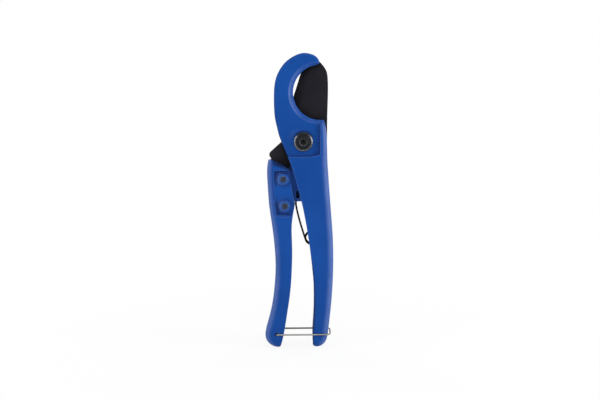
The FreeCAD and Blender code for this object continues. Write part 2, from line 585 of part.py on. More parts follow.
def leg(side):
    u = V(ex2 - bx, 0, ez2 - bz)
    u.normalize()
    a = V(bx, side * (GRIP_IN + 0.1), bz)
    b = V(bx, side * (yb - rr), bz)
    m1 = V(bx, side * yb, bz) + u * (rr * 0.293) - V(0, side * rr * 0.293, 0)
    c = V(bx, side * yb, bz) + u * rr
    d = V(ex2, side * yb, ez2) - u * rr
    m2 = V(ex2, side * yb, ez2) - u * (rr * 0.293) - V(0, side * rr * 0.293, 0)
    e = V(ex2, side * (yb - rr), ez2)
    return a, b, m1, c, d, m2, e


a1, b1, m1, c1, d1, n1, e1 = leg(-1)
a2, b2, m2, c2, d2, n2, e2 = leg(1)
edges = [Part.makeLine(a1, b1), Part.Arc(b1, m1, c1).toShape(), Part.makeLine(c1, d1),
         Part.Arc(d1, n1, e1).toShape(),
         Part.makeLine(e1, e2), Part.Arc(e2, n2, d2).toShape(), Part.makeLine(d2, c2),
         Part.Arc(c2, m2, b2).toShape(),
         Part.makeLine(b2, a2)]
save(wire(edges, WIRE_BAIL, "latch_bail"), "latch_bail")
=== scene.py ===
import math
import bpy
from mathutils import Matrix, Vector


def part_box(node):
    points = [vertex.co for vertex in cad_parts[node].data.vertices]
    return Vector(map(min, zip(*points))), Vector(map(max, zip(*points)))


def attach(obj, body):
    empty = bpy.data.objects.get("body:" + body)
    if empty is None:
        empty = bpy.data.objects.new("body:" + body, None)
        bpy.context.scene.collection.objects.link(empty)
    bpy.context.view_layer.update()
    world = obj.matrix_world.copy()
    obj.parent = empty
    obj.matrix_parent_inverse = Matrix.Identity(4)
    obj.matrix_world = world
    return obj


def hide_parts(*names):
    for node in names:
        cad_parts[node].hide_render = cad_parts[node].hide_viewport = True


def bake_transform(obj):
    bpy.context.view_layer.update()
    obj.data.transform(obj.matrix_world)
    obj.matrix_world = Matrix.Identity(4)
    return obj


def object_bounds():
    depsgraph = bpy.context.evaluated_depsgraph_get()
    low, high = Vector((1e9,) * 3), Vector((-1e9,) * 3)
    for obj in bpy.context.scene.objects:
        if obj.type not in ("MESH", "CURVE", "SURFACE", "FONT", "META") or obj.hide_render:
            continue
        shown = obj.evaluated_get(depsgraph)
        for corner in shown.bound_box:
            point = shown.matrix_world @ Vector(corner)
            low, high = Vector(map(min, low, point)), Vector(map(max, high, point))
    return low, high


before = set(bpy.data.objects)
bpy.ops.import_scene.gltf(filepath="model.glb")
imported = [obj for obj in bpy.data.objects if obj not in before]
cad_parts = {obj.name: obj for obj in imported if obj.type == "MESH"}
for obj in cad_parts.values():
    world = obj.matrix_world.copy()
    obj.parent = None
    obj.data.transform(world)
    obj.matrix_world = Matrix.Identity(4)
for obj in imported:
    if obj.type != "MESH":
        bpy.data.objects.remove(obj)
cad_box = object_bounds()

# ----------------------------------------------------------------- fixed handle
# The hook, pipe seat and right-hand grip are one aluminium die casting, sprayed with blue stoving enamel.
# The enamel is thinnest on the sharp edges, where the primer shows through as a paler violet line,
# and painted highlights lighten its rounded edges, the grip's outer shoulders and the seat rim; painted shade
# darkens its corners.
enamel_blue = (0.0050, 0.064, 0.300, 1.0)
enamel_deep = (0.0030, 0.051, 0.255, 1.0)
enamel_thin_and_sheen = (0.095, 0.175, 0.50, 1.0)
enamel_highlight = (0.170, 0.240, 0.500, 1.0)
enamel_shade = (0.0015, 0.013, 0.115, 1.0)
shadow_navy = (0.003, 0.010, 0.055, 1.0)
pivot = (0.0, 0.0)
seat_middle = (0.0130, 0.0376)


def add_node(material, kind, place=(0, 0), **sockets):
    """One shader node in a material, with the given inputs set by name."""
    node = material.node_tree.nodes.new(kind)
    node.location = place
    for name, value in sockets.items():
        node.inputs[name.replace("_", " ")].default_value = value
    return node


def tie(material, *pairs):
    """Links each output socket to an input socket."""
    for out_socket, in_socket in pairs:
        material.node_tree.links.new(out_socket, in_socket)


def new_finish(name):
    """An empty finish with its main shader, and the place on the piece to read patterns from."""
    material = bpy.data.materials.new(name)
    material.use_nodes = True
    material.node_tree.nodes.clear()
    out = add_node(material, "ShaderNodeOutputMaterial", (900, 0))
    shader = add_node(material, "ShaderNodeBsdfPrincipled", (600, 0))
    where = add_node(material, "ShaderNodeTexCoord", (-1400, 0))
    tie(material, (shader.outputs["BSDF"], out.inputs["Surface"]))
    return material, shader, where


def speckle(material, where, scale, detail=4.0, roughness=0.55,
            stretch=(1, 1, 1), turn=(0, 0, 0), at=(0, 0, 0)):
    """A noise pattern on the piece; scale is in lumps to the metre."""
    spread = add_node(material, "ShaderNodeMapping", (-1200, 0))
    spread.inputs["Scale"].default_value = stretch
    spread.inputs["Rotation"].default_value = turn
    spread.inputs["Location"].default_value = at
    noise = add_node(material, "ShaderNodeTexNoise", (-1000, 0),
                     Scale=scale, Detail=detail, Roughness=roughness)
    tie(material, (where.outputs["Object"], spread.inputs["Vector"]),
        (spread.outputs["Vector"], noise.inputs["Vector"]))
    return noise.outputs["Fac"]


def remap(material, value, low, high, to_low=0.0, to_high=1.0):
    """Stretches part of a value's range over another range, with its ends held."""
    node = add_node(material, "ShaderNodeMapRange", (-700, 0))
    node.inputs["From Min"].default_value = low
    node.inputs["From Max"].default_value = high
    node.inputs["To Min"].default_value = to_low
    node.inputs["To Max"].default_value = to_high
    tie(material, (value, node.inputs["Value"]))
    return node.outputs["Result"]


def times(material, a, b, how="MULTIPLY"):
    """The product of two amounts, or their sum with how="ADD", held between 0 and 1."""
    node = add_node(material, "ShaderNodeMath", (-500, 0))
    node.operation = how
    node.use_clamp = True
    for socket, value in zip(node.inputs, (a, b)):
        if isinstance(value, (int, float)):
            socket.default_value = value
        else:
            tie(material, (value, socket))
    return node.outputs[0]


def tint(material, amount, colour_a, colour_b):
    """Goes from one colour to another by an amount."""
    node = add_node(material, "ShaderNodeMix", (-300, 0))
    node.data_type = "RGBA"
    inputs = (node.inputs["Factor"], node.inputs[6], node.inputs[7])
    for socket, value in zip(inputs, (amount, colour_a, colour_b)):
        if isinstance(value, (tuple, float, int)):
            socket.default_value = value
        else:
            tie(material, (value, socket))
    return node.outputs[2]


def edge_of(material, width, flat=0.995, sharp=0.90):
    """1 on the edges of a piece, 0 on its flat faces: how far the normal turns within the width."""
    soft = add_node(material, "ShaderNodeBevel", (-1200, -300), Radius=width)
    soft.samples = 6
    true_normal = add_node(material, "ShaderNodeNewGeometry", (-1200, -500))
    dot = add_node(material, "ShaderNodeVectorMath", (-1000, -400))
    dot.operation = "DOT_PRODUCT"
    tie(material, (soft.outputs["Normal"], dot.inputs[0]), (true_normal.outputs["Normal"], dot.inputs[1]))
    return remap(material, dot.outputs["Value"], flat, sharp)


def shade_in_corners(material, reach):
    """1 in narrow corners, where painted shade goes, 0 in the open."""
    shade = add_node(material, "ShaderNodeAmbientOcclusion", (-1200, -700), Distance=reach)
    shade.samples = 6
    shade.only_local = True
    return remap(material, shade.outputs["AO"], 0.92, 0.35)


def relief(material, shader, *layers):
    """Bump from one or more heights, each with its depth in metres."""
    last = None
    for height, depth in layers:
        node = add_node(material, "ShaderNodeBump", (300, -400), Strength=1.0, Distance=depth)
        tie(material, (height, node.inputs["Height"]))
        if last is not None:
            tie(material, (last, node.inputs["Normal"]))
        last = node.outputs["Normal"]
    tie(material, (last, shader.inputs["Normal"]))


def place_of(material, where, axis):
    """How far along X, Y or Z a point of the piece lies."""
    split = add_node(material, "ShaderNodeSeparateXYZ", (-1200, 600))
    tie(material, (where.outputs["Object"], split.inputs[0]))
    return split.outputs[axis]


def facing(material, direction, width, samples):
    """How far the surface faces a direction, with its edges taken as rounded over the width."""
    soft = add_node(material, "ShaderNodeBevel", (-1200, 900), Radius=width)
    soft.samples = samples
    toward = add_node(material, "ShaderNodeVectorMath", (-1000, 900))
    toward.operation = "DOT_PRODUCT"
    toward.inputs[1].default_value = direction
    tie(material, (soft.outputs["Normal"], toward.inputs[0]))
    return toward.outputs["Value"]


def side_highlight_mask(material, where, outward, width):
    """1 on the round shoulders of the grip's outer side, where a painted highlight goes, fading over the
    width on to the flat face and the side wall."""
    side_facing = facing(material, (outward, 0.0, 0.0), width, 12)
    shoulder = times(material, remap(material, side_facing, 0.06, 0.45), remap(material, side_facing, 0.97, 0.80))
    return times(material, shoulder, remap(material, place_of(material, where, "Z"), 0.019, 0.009))


def from_axis(material, where, centre):
    """Places on the piece, measured from an axis along Y that stands at x and z."""
    shift = add_node(material, "ShaderNodeMapping", (-1200, 1300))
    shift.inputs["Location"].default_value = (-centre[0], 0.0, -centre[1])
    tie(material, (where.outputs["Object"], shift.inputs["Vector"]))
    return shift.outputs["Vector"]


def ring_round(material, where, centre, inner, full, outer):
    """A ring round an axis along Y: 1 at its full radius, nothing at the inner and outer radius."""
    flat = add_node(material, "ShaderNodeVectorMath", (-1100, 1300))
    flat.operation = "MULTIPLY"
    flat.inputs[1].default_value = (1.0, 0.0, 1.0)
    reach = add_node(material, "ShaderNodeVectorMath", (-1000, 1300))
    reach.operation = "LENGTH"
    tie(material, (from_axis(material, where, centre), flat.inputs[0]), (flat.outputs[0], reach.inputs[0]))
    radius = reach.outputs["Value"]
    return times(material, remap(material, radius, inner, full), remap(material, radius, outer, full))


def seat_highlight(material, where):
    """A painted highlight on the seat's eased edge, most at the back of the hook."""
    rub_and_sheen_ring = ring_round(material, where, seat_middle, 0.0216, 0.0234, 0.0250)
    return times(material, rub_and_sheen_ring, remap(material, place_of(material, where, "X"), 0.0, -0.0085, 0.12, 1.0))


def patchy(material, where, scale, least, most):
    """How strong a painted shadow is, which varies in patches between the least and the most."""
    return remap(material, speckle(material, where, scale, 4.0, 0.6), 0.3, 0.6, least, most)


def blue_enamel(name, shift, outward, shadows, highlight_marks=None):
    """Stoving enamel over a casting: even blue, thin on edges, painted highlights on edges, shoulders and
    seat rim, painted shade in corners, painted shadows, faintly pebbled.
    """
    material, shader, where = new_finish(name)
    clouds = remap(material, speckle(material, where, 22.0, 3.0, 0.5, at=shift), 0.35, 0.68)
    body = tint(material, clouds, enamel_deep, enamel_blue)
    # painted shade darkens the corners and sunk pockets
    corner_shade = shade_in_corners(material, 0.006)
    body = tint(material, times(material, corner_shade, 0.9), body, enamel_shade)
    rub = remap(material, speckle(material, where, 260.0, 5.0, 0.65, at=shift), 0.36, 0.62, 0.12, 0.42)
    # painted highlight: a wide pale band along every rounded edge; the narrow edges next are thin enamel
    body = tint(material, times(material, edge_of(material, 0.0016, 0.998, 0.88), 0.16), body, enamel_thin_and_sheen)
    body = tint(material, times(material, edge_of(material, 0.0006), rub), body, enamel_thin_and_sheen)
    # painted highlight on the grip's outer round shoulders, patchy in strength
    highlight_patches = remap(material, speckle(material, where, 70.0, 4.0, 0.6, at=shift), 0.3, 0.7, 0.28, 0.46)
    side_highlight = side_highlight_mask(material, where, outward, 0.0045)
    body = tint(material, times(material, side_highlight, highlight_patches), body, enamel_highlight)
    # painted highlight ring on the pipe seat
    if highlight_marks is not None:
        body = tint(material, times(material, highlight_marks(material, where), highlight_patches), body, enamel_highlight)
    # painted shadows, in dark navy
    for marks in shadows:
        body = tint(material, marks(material, where), body, shadow_navy)
    tie(material, (body, shader.inputs["Base Color"]))
    scuff = speckle(material, where, 90.0, 6.0, 0.7, stretch=(1, 1, 0.35), at=shift)
    tie(material, (remap(material, scuff, 0.3, 0.75, 0.30, 0.44), shader.inputs["Roughness"]))
    shader.inputs["Specular IOR Level"].default_value = 0.12
    relief(material, shader, (speckle(material, where, 1400.0, 2.0, 0.5, at=shift), 0.000018),
           (speckle(material, where, 180.0, 3.0, 0.5, at=shift), 0.00006))
    return material


def dress(node, material):
    """Gives a CAD node its finish."""
    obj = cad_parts[node]
    obj.data.materials.clear()
    obj.data.materials.append(material)


def shadow_over_washer(material, where):
    """A painted shadow: a dark arc close over each washer's rim, above the pivot."""
    near = ring_round(material, where, pivot, 0.0060, 0.0076, 0.0096)
    above = remap(material, place_of(material, where, "Z"), 0.0010, 0.0072)
    return times(material, times(material, near, above), patchy(material, where, 500.0, 0.65, 1.0))


def shade_inside_edge(material, where):
    """Painted shade: a thin dark line along the grip's inner edge below the spring."""
    inward = remap(material, facing(material, (-1.0, 0.0, 0.0), 0.0026, 8), 0.05, 0.25)
    height = place_of(material, where, "Z")
    below = times(material, remap(material, height, -0.088, -0.102), remap(material, height, -0.161, -0.156))
    return times(material, times(material, inward, below), patchy(material, where, 300.0, 0.65, 0.9))


# the fixed handle's painted shadows
frame_shadows = (shadow_over_washer, shade_inside_edge)
dress("frame_handle", blue_enamel("frame_enamel", (0.3, 0.1, 0.7), 1.0, frame_shadows, seat_highlight))

# ---------------------------------------------------------------- moving handle
# The left-hand grip and its two wings are a second casting in the same enamel, sprayed in another batch.
# Its wings rub on the wear washers, and painted shade darkens the sunk pockets round the rivets.
def shadow_under_tail(material, where):
    """A painted shadow of the blade's tail on the slanting top edge of the wings: a dark strip
    about 2 mm wide that stops short of the back."""
    across = add_node(material, "ShaderNodeVectorMath", (-1000, 600))
    across.operation = "DOT_PRODUCT"
    across.inputs[1].default_value = (0.309, 0.0, 0.951)
    tie(material, (where.outputs["Object"], across.inputs[0]))
    strip = remap(material, across.outputs["Value"], -0.0252, -0.0230)
    shadow_strip = times(material, strip, remap(material, place_of(material, where, "X"), -0.0250, -0.0225))
    return times(material, shadow_strip, patchy(material, where, 420.0, 0.8, 1.0))


# the lever's painted shadow under the blade's tail
dress("moving_handle", blue_enamel("lever_enamel", (1.9, 0.4, 0.2), -1.0, (shadow_under_tail,)))

# ------------------------------------------------------------------------ blade
# The blade is 3 mm tool steel, blanked, ground and hardened. A baked black coating helps it slide
# through plastic. Faint grinding lines show in the coating, and it wears first along the edges.
coat_black = (0.0066, 0.0062, 0.0098, 1.0)
coat_light = (0.0135, 0.0125, 0.0170, 1.0)
coat_worn = (0.045, 0.045, 0.050, 1.0)
coat_shade = (0.0012, 0.0012, 0.0022, 1.0)
coat_dusty = (0.0225, 0.0215, 0.0270, 1.0)


def blade_coat(name):
    """Baked black coating: cloudy, finely lined, worn on its edges, painted shade by the jaw, dusty at the
    tail.
    """
    material, shader, where = new_finish(name)
    clouds = remap(material, speckle(material, where, 38.0, 4.0, 0.6), 0.35, 0.7)
    grain = speckle(material, where, 60.0, 5.0, 0.7, stretch=(26.0, 1.0, 1.2), turn=(0, 0.32, 0))
    body = tint(material, clouds, coat_black, coat_light)
    body = tint(material, remap(material, grain, 0.55, 0.8, 0.0, 0.35), body, coat_light)
    rub = remap(material, speckle(material, where, 420.0, 5.0, 0.7), 0.4, 0.62)
    body = tint(material, times(material, edge_of(material, 0.00035), rub), body, coat_worn)
    # painted shade darkens the blade close beside the jaw
    beside = add_node(material, "ShaderNodeAmbientOcclusion", (-1200, -900), Distance=0.010)
    beside.samples = 8
    jaw_shade = remap(material, beside.outputs["AO"], 0.97, 0.60, 0.0, 0.85)
    body = tint(material, jaw_shade, body, coat_shade)
    # fine dust has dried on the tail's end, which dulls it to grey
    dusty = remap(material, place_of(material, where, "X"), -0.0135, -0.0245)
    uneven = remap(material, clouds, 0.0, 1.0, 0.8, 1.0)
    body = tint(material, times(material, dusty, uneven), body, coat_dusty)
    tie(material, (body, shader.inputs["Base Color"]))
    shader.inputs["Metallic"].default_value = 0.0
    shader.inputs["Specular IOR Level"].default_value = 0.09
    tie(material, (remap(material, grain, 0.3, 0.75, 0.38, 0.52), shader.inputs["Roughness"]))
    relief(material, shader, (grain, 0.00002), (speckle(material, where, 900.0, 2.0, 0.5), 0.00001))
    return material


dress("blade", blade_coat("blade_coating"))

# ---------------------------------------------- bush, wear washers and the pawl
# The pivot bush and the four thin wear washers are turned from mild steel, and the spacer is cut from tube.
# They run oiled and bare, so they show turning rings round their axis, a brown film of dried oil
# and bright rims.
def turned_steel(name, centre, base, film_and_shade, metallic=0.9, rough=(0.3, 0.5), rings=900.0,
                 rim=(0.45, 0.45, 0.46, 1.0), rim_width=0.00025, gloss=0.5, rub_and_sheen_ring=None, shaded_top=None):
    """Turned steel: rings round an axis along Y through the centre, an oil film and bright rims;
    rub_and_sheen_ring is one bright ring's three radii, and shaded_top is the two heights between which
    painted shade darkens the piece's upper side, in the film colour."""
    material, shader, where = new_finish(name)
    wave = add_node(material, "ShaderNodeTexWave", (-1000, 200), Scale=rings, Distortion=0.6, Detail=2.0)
    wave.wave_type = "RINGS"
    wave.rings_direction = "Y"
    tie(material, (from_axis(material, where, centre), wave.inputs["Vector"]))
    stain = remap(material, speckle(material, where, 330.0, 5.0, 0.65), 0.38, 0.66)
    body = tint(material, stain, base, film_and_shade)
    rub = remap(material, speckle(material, where, 600.0, 4.0, 0.7), 0.35, 0.6, 0.3, 1.0)
    body = tint(material, times(material, edge_of(material, rim_width), rub), body, rim)
    if rub_and_sheen_ring is not None:
        body = tint(material, times(material, ring_round(material, where, centre, *rub_and_sheen_ring), rub), body, rim)
    # painted shade on the piece's upper side
    if shaded_top is not None:
        height = place_of(material, where, "Z")
        body = tint(material, remap(material, height, shaded_top[0], shaded_top[1], 0.0, 0.9), body, film_and_shade)
    tie(material, (body, shader.inputs["Base Color"]))
    shader.inputs["Metallic"].default_value = metallic
    shader.inputs["Specular IOR Level"].default_value = gloss
    smudge = speckle(material, where, 700.0, 4.0, 0.6)
    tie(material, (remap(material, smudge, 0.3, 0.7, rough[0], rough[1]), shader.inputs["Roughness"]))
    relief(material, shader, (wave.outputs["Fac"], 0.000012), (smudge, 0.00001))
    return material


def middle_of(node):
    """Where a node's axis along Y stands, as x and z."""
    lo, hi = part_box(node)
    return ((lo.x + hi.x) / 2, (lo.z + hi.z) / 2)


bush_steel = turned_steel("bush_steel", pivot, (0.30, 0.29, 0.27, 1), (0.15, 0.11, 0.075, 1))
for name in ("pivot_bush", "blade_shim_front", "blade_shim_back", "wing_shim_front", "wing_shim_back"):
    dress(name, bush_steel)
dress("rivet_spacer", turned_steel("spacer_steel", middle_of("rivet_spacer"),
                                   (0.22, 0.22, 0.23, 1), (0.1, 0.08, 0.06, 1)))

# The drive pawl is stamped from 3 mm spring steel and hardened, with two small washers beside it.
# Hardening leaves it grey-brown, and its edges are rubbed bright.
pawl_steel = turned_steel("pawl_steel", middle_of("pawl_washer_front"),
                          (0.07, 0.07, 0.075, 1), (0.035, 0.030, 0.026, 1), rim=(0.3, 0.3, 0.3, 1))
for name in ("drive_pawl", "pawl_washer_front", "pawl_washer_back"):
    dress(name, pawl_steel)

# ---------------------------------------------------------------- pivot washers
# A pressed steel washer lies in each sunk pocket under the screw head and under the nut.
# Its outer rim is dished, and tightening the screw has rubbed the black finish off in rings; a painted
# highlight brightens the rim, and painted shade darkens the washer's upper side.
washer_out = 0.0073
washer_hole = 0.0032
rim_inset = 0.0009
rim_drop = 0.00065


def deselect_everything():
    """Leaves edit mode with nothing selected."""
    if bpy.context.object and bpy.context.object.mode != "OBJECT":
        bpy.ops.object.mode_set(mode="OBJECT")
    bpy.ops.object.select_all(action="DESELECT")


def choose_only(*pieces):
    """Selects these pieces alone; the first is the one that the next operator works on."""
    deselect_everything()
    for piece in pieces:
        piece.select_set(True)
    bpy.context.view_layer.objects.active = pieces[0]


def round_bar(name, corners, radius, y_from, y_to, at=pivot, turn=0.0):
    """A bar along Y with that many corners, standing at x and z, ready to be shaped in edit mode."""
    deselect_everything()
    bpy.ops.mesh.primitive_cylinder_add(vertices=corners, radius=radius, depth=y_to - y_from,
                                        location=(at[0], (y_from + y_to) / 2, at[1]),
                                        rotation=(math.pi / 2, turn, 0.0))
    bar = bpy.context.object
    bar.name = name
    bpy.ops.object.transform_apply(location=True, rotation=True, scale=True)
    return bar


def pick_nothing(kind):
    """Clears what is picked in the active piece, and sets whether points, edges or faces are picked."""
    bpy.ops.object.mode_set(mode="EDIT")
    bpy.ops.mesh.select_mode(type=kind)
    bpy.ops.mesh.select_all(action="DESELECT")
    bpy.ops.object.mode_set(mode="OBJECT")


def pick_faces(piece, test):
    """Leaves the piece in edit mode with the faces picked whose middle and normal pass the test."""
    pick_nothing("FACE")
    for face in piece.data.polygons:
        face.select = test(face.center, face.normal)
    bpy.ops.object.mode_set(mode="EDIT")


def pick_points(piece, test):
    """Leaves the piece in edit mode with the points picked whose place passes the test."""
    pick_nothing("VERT")
    for point in piece.data.vertices:
        point.select = test(point.co)
    bpy.ops.object.mode_set(mode="EDIT")


def ease_rim(piece, test, width, steps):
    """Bevels the edges round the picked faces."""
    pick_faces(piece, test)
    bpy.ops.mesh.select_mode(type="EDGE")
    bpy.ops.mesh.bevel(offset=width, segments=steps, affect="EDGES", clamp_overlap=True)
    bpy.ops.object.mode_set(mode="OBJECT")


def trim_with(piece, cutter, how):
    """Cuts a piece with another, or keeps what both share, and takes the cutter away."""
    choose_only(piece)
    cut = piece.modifiers.new("trim", "BOOLEAN")
    cut.operation = how
    cut.solver = "EXACT"
    cut.object = cutter
    bpy.ops.object.modifier_apply(modifier=cut.name)
    bpy.data.objects.remove(cutter, do_unlink=True)


def soften(piece, width, steps=2, angle=32.0):
    """Rounds every sharp edge a little and shades the piece smooth across it."""
    choose_only(piece)
    round_off = piece.modifiers.new("round", "BEVEL")
    round_off.width = width
    round_off.segments = steps
    round_off.limit_method = "ANGLE"
    round_off.angle_limit = math.radians(angle)
    round_off.harden_normals = False
    bpy.ops.object.modifier_apply(modifier=round_off.name)
    bpy.ops.object.shade_smooth_by_angle(angle=math.radians(40))


def fit(piece, node, body, material):
    """Puts a finished piece in a CAD node's stead, on its body, in its finish."""
    piece.data.materials.clear()
    piece.data.materials.append(material)
    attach(piece, body)
    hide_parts(node)


# painted highlight on each washer's rim and painted shade on its upper side
washer_finish = turned_steel("washer_finish", pivot, (0.022, 0.024, 0.028, 1), (0.009, 0.009, 0.010, 1),
                             metallic=0.8, gloss=0.3, rough=(0.24, 0.38), rings=700.0,
                             rim=(0.20, 0.21, 0.235, 1), rim_width=0.0005,
                             rub_and_sheen_ring=(0.0057, 0.0068, 0.0077), shaded_top=(0.0036, 0.0056))
for tag, node in (("front", "pivot_washer_front"), ("back", "pivot_washer_back")):
    lo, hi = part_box(node)
    outward = -1.0 if tag == "front" else 1.0
    washer = round_bar("washer_" + tag, 96, washer_out, lo.y, hi.y)
    # the rim is dished: the outer face is drawn in, with a shallow groove where the head bears
    pick_faces(washer, lambda c, n: n.y * outward > 0.9)
    bpy.ops.mesh.inset(thickness=rim_inset, depth=0.0)
    bpy.ops.mesh.inset(thickness=0.0009, depth=-0.00012)
    bpy.ops.mesh.inset(thickness=0.0003, depth=0.00012)
    bpy.ops.object.mode_set(mode="OBJECT")
    ease_rim(washer, lambda c, n: n.y * outward < -0.9, 0.0002, 2)
    middle_y = (lo.y + hi.y) / 2
    pick_points(washer, lambda p: (math.hypot(p.x, p.z) > washer_out - 0.00005
                                   and (p.y - middle_y) * outward > 0.0005))
    bpy.ops.transform.translate(value=(0.0, -outward * rim_drop, 0.0))
    bpy.ops.object.mode_set(mode="OBJECT")
    bore = round_bar("bore", 64, washer_hole, lo.y - 0.001, hi.y + 0.001)
    trim_with(washer, bore, "DIFFERENCE")
    soften(washer, 0.00012)
    fit(washer, node, "frame", washer_finish)

# ------------------------------------------------------------------ pivot screw
# The pivot is an M6 socket-head screw, black-oxided, with a 5 mm hexagon socket and a knurled head.
# The key has rubbed the mouth of the socket grey, and its floor stays dark.
head_r = 0.0051
head_height = 0.0040
key_half = 0.0025
lead_half = 0.0034
shank_r = 0.00285
thread_pitch = 0.0010
side_lines = 96
lo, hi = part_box("pivot_screw")
head_top, thread_end = lo.y, hi.y
head_low = head_top + head_height
screw = round_bar("socket_screw", side_lines, head_r, head_top + 0.0011, head_low)
# knurl: every other line down the head's side is drawn in towards the axis
pick_points(screw, lambda p: round(math.degrees(math.atan2(p.z, p.x)) * side_lines / 360) % 2 == 0)
bpy.ops.transform.resize(value=(0.965, 1.0, 0.965), center_override=(0.0, 0.0, 0.0))
bpy.ops.object.mode_set(mode="OBJECT")
# the rim rolls over to the flat face in four steps
pick_faces(screw, lambda c, n: n.y < -0.9)
for shrink, rise in ((0.972, 0.00025), (0.985, 0.00035), (0.965, 0.00030), (0.93, 0.00020)):
    bpy.ops.mesh.extrude_region_move(TRANSFORM_OT_translate={"value": (0.0, -rise, 0.0)})
    bpy.ops.transform.resize(value=(shrink, 1.0, shrink), center_override=(0.0, 0.0, 0.0))
bpy.ops.object.mode_set(mode="OBJECT")
# the socket has a coned lead-in for the key, worn bright by it
lead = round_bar("lead_in", 6, lead_half / math.cos(math.pi / 6), head_top - 0.0002, head_top + 0.0006)
pick_faces(lead, lambda c, n: n.y > 0.9)
bpy.ops.transform.resize(value=(0.73, 1.0, 0.73), center_override=(0.0, 0.0, 0.0))
bpy.ops.object.mode_set(mode="OBJECT")
trim_with(screw, lead, "DIFFERENCE")
socket = round_bar("socket", 6, key_half / math.cos(math.pi / 6), head_top - 0.001, head_top + 0.0028)
trim_with(screw, socket, "DIFFERENCE")
# the drill left a cone in the socket's floor
drill = round_bar("drill", 48, 0.0021, head_top + 0.0020, head_top + 0.0034)
pick_faces(drill, lambda c, n: n.y > 0.9)
bpy.ops.transform.resize(value=(0.12, 1.0, 0.12), center_override=(0.0, 0.0, 0.0))
bpy.ops.object.mode_set(mode="OBJECT")
trim_with(screw, drill, "DIFFERENCE")
soften(screw, 0.00012)
shank = round_bar("shank", 64, shank_r, head_low - 0.0002, thread_end)
ease_rim(shank, lambda c, n: n.y > 0.9, 0.0005, 2)
bpy.ops.object.shade_smooth_by_angle(angle=math.radians(40))
# the thread is one ridge that winds out of the nut: a three-cornered profile wound round the axis,
# with both ends closed
deselect_everything()
bpy.ops.mesh.primitive_circle_add(vertices=3, radius=0.00034, fill_type="NOTHING",
                                  location=(0.00276, thread_end - 0.0031, 0.0),
                                  rotation=(0.0, 0.0, -math.pi / 2))
thread = bpy.context.object
thread.name = "thread"
bpy.ops.object.transform_apply(location=True, rotation=True, scale=True)
wind = thread.modifiers.new("wind", "SCREW")
wind.axis = "Y"
wind.angle = 2 * math.pi
wind.screw_offset = thread_pitch
wind.iterations = 2
wind.steps = wind.render_steps = 40
wind.use_merge_vertices = False
bpy.ops.object.modifier_apply(modifier=wind.name)
bpy.ops.object.mode_set(mode="EDIT")
bpy.ops.mesh.select_mode(type="EDGE")
bpy.ops.mesh.select_all(action="DESELECT")
bpy.ops.mesh.select_non_manifold()
bpy.ops.mesh.fill()
bpy.ops.mesh.select_all(action="SELECT")
bpy.ops.mesh.normals_make_consistent(inside=False)
bpy.ops.object.mode_set(mode="OBJECT")
choose_only(screw, shank, thread)
bpy.ops.object.join()
screw_oxide = turned_steel("screw_oxide", pivot, (0.0025, 0.0035, 0.0050, 1), (0.006, 0.006, 0.007, 1),
                           metallic=0.0, rough=(0.28, 0.46), gloss=0.14, rings=1200.0,
                           rim=(0.12, 0.125, 0.14, 1), rim_width=0.00040, rub_and_sheen_ring=(0.0021, 0.0027, 0.0032))
fit(screw, "pivot_screw", "frame", screw_oxide)

# -------------------------------------------------------------------- pivot nut
# An M6 nut on the back, 10 mm across its flats, holds the screw.
# It is black-oxided, with both ends chamfered and the bore's mouths eased.
nut_corner = 0.00577
nut_turned = 0.00572
nut_bore = 0.00288
lo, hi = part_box("pivot_nut")
nut = round_bar("hex_nut", 6, nut_corner, lo.y, hi.y, turn=math.pi / 6)
turned = round_bar("turned", 96, nut_turned, lo.y, hi.y)
ease_rim(turned, lambda c, n: abs(n.y) > 0.9, 0.00055, 1)
trim_with(nut, turned, "INTERSECT")
bore = round_bar("bore", 64, nut_bore, lo.y - 0.001, hi.y + 0.001)
trim_with(nut, bore, "DIFFERENCE")
soften(nut, 0.00016)
nut_oxide = turned_steel("nut_oxide", pivot, (0.007, 0.0075, 0.009, 1), (0.015, 0.014, 0.013, 1),
                         metallic=0.3, rough=(0.3, 0.5), gloss=0.3,
                         rim=(0.09, 0.09, 0.095, 1), rim_width=0.0003)
fit(nut, "pivot_nut", "frame", nut_oxide)

# ----------------------------------------------------------------------- rivets
# Two solid steel rivets cross the lever's head: the upper one carries the pawl, the lower one its spring.
# Both ends are set flush in a raised boss, with a turned ring round a pip, and have tarnished blue-grey.
for node, name in (("upper_rivet", "rivet_upper"), ("lower_rivet", "rivet_lower")):
    lo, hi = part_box(node)
    at = middle_of(node)
    rivet = round_bar(name, 64, (hi.x - lo.x) / 2, lo.y, hi.y, at=at)
    ease_rim(rivet, lambda c, n: abs(n.y) > 0.9, 0.00035, 3)
    for end in (-1.0, 1.0):
        pick_faces(rivet, lambda c, n: n.y * end > 0.95)
        bpy.ops.mesh.inset(thickness=0.0004, depth=0.0)
        bpy.ops.mesh.inset(thickness=0.0003, depth=-0.00022)
        bpy.ops.mesh.inset(thickness=0.0004, depth=0.00008)
        bpy.ops.mesh.inset(thickness=0.0004, depth=0.00006)
        bpy.ops.object.mode_set(mode="OBJECT")
    soften(rivet, 0.00006)
    rivet_steel = turned_steel(name + "_steel", at, (0.022, 0.036, 0.066, 1), (0.042, 0.034, 0.048, 1),
                               metallic=0.4, rough=(0.35, 0.55), gloss=0.15, rings=1400.0,
                               rim=(0.045, 0.080, 0.17, 1), rim_width=0.0007)
    fit(rivet, node, "lever", rivet_steel)

